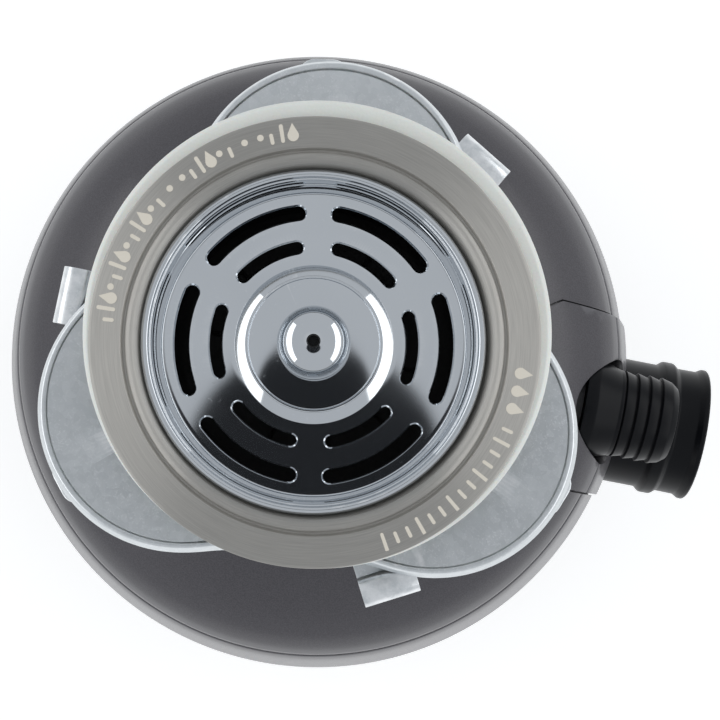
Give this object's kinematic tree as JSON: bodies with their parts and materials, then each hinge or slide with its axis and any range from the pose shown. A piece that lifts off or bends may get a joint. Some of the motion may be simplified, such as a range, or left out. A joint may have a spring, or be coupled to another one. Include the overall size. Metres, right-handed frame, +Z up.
{
  "type": "kitchen garbage disposal",
  "caption": "Under-sink food waste grinder with lobed quick-lock sink mount, strainer, side discharge tube and hose spigot.",
  "frame": {"origin": "point where the motor shaft's axis meets the plane the base stands on", "axes": "+Z up along the shaft to the sink flange; +X along the discharge tube, out of the housing"},
  "size_m": [0.2217, 0.1952, 0.32],
  "materials": {
    "zinc_plate": "bright zinc plated pressed steel",
    "brushed_steel": "stainless steel, circular brushing",
    "plain_steel": "machined or pressed stainless steel",
    "mirror_chrome": "polished chrome",
    "pale_rubber": "off-white soft gasket rubber",
    "black_rubber": "black moulded rubber",
    "fibre_sheet": "pressed fibre sheet",
    "charcoal_shell": "charcoal plastic with a fine metallic fleck, satin",
    "black_plastic": "black moulded plastic, half gloss",
    "base_plastic": "black moulded plastic, fine texture",
    "chamber_plastic": "glass-filled moulded plastic",
    "red_plastic": "red button plastic",
    "cast_alloy": "die cast, as cast",
    "core_steel": "laminated electrical steel",
    "varnished_copper": "varnished copper windings",
    "grey_foam": "sound-deadening foam"
  },
  "bodies": {
    "disposer": {"upper_mount_ring": "zinc_plate", "backup_ring": "zinc_plate", "mount_screw_1": "zinc_plate", "mount_screw_2": "zinc_plate", "mount_screw_3": "zinc_plate", "discharge_clamp": "zinc_plate", "clamp_screw_1": "zinc_plate", "clamp_screw_2": "zinc_plate", "terminal_cover": "zinc_plate", "terminal_screw": "zinc_plate", "through_bolt_1": "zinc_plate", "through_bolt_2": "zinc_plate", "through_bolt_3": "zinc_plate", "through_bolt_4": "zinc_plate", "sink_flange": "brushed_steel", "snap_ring": "plain_steel", "shredder_ring": "plain_steel", "upper_bearing": "plain_steel", "lower_bearing": "plain_steel", "sink_gasket": "pale_rubber", "splash_baffle": "black_rubber", "shaft_seal": "black_rubber", "discharge_gasket": "black_rubber", "cord_gland": "black_rubber", "fibre_gasket": "fibre_sheet", "upper_shell": "charcoal_shell", "body_shell": "charcoal_shell", "outlet_cover": "charcoal_shell", "discharge_tube": "black_plastic", "dishwasher_inlet": "black_plastic", "overload_protector": "black_plastic", "bottom_cover": "base_plastic", "grind_chamber": "chamber_plastic", "upper_end_bell": "cast_alloy", "lower_end_bell": "cast_alloy", "stator_core": "core_steel", "winding_upper": "varnished_copper", "winding_lower": "varnished_copper", "insulation": "grey_foam"},
    "strainer": {"strainer_basket": "mirror_chrome", "strainer_knob": "mirror_chrome", "strainer_nut": "plain_steel"},
    "lock": {"lock_ring": "zinc_plate"},
    "rotor": {"shaft": "plain_steel", "turntable": "plain_steel", "turntable_nut": "plain_steel", "impeller_pin_1": "plain_steel", "impeller_pin_2": "plain_steel", "rotor_core": "core_steel", "rotor_fan": "cast_alloy"},
    "lug_1": {"impeller_1": "plain_steel"},
    "lug_2": {"impeller_2": "plain_steel"},
    "reset": {"reset_button": "red_plastic"}
  },
  "joints": [
    {"name": "strainer_lift", "type": "slide", "parent": "disposer", "child": "strainer", "axis": [0, 0, 1], "range_m": [0, 0.06]},
    {"name": "lock_ring_turn", "type": "hinge", "parent": "disposer", "child": "lock", "pos_m": [0, 0, 0.286], "axis": [0, 0, 1], "range_deg": [0, 56]},
    {"name": "rotor_spin", "type": "hinge", "parent": "disposer", "child": "rotor", "pos_m": [0, 0, 0.12], "axis": [0, 0, 1], "continuous": true},
    {"name": "impeller_1_swivel", "type": "hinge", "parent": "rotor", "child": "lug_1", "pos_m": [0.044, 0, 0.22], "axis": [0, 0, 1], "continuous": true},
    {"name": "impeller_2_swivel", "type": "hinge", "parent": "rotor", "child": "lug_2", "pos_m": [-0.044, 0, 0.22], "axis": [0, 0, 1], "continuous": true},
    {"name": "reset_press", "type": "slide", "parent": "disposer", "child": "reset", "axis": [0, 0, 1], "range_m": [0, 0.003], "stiffness_N_per_m": 300, "springref_m": -0.002}
  ]
}
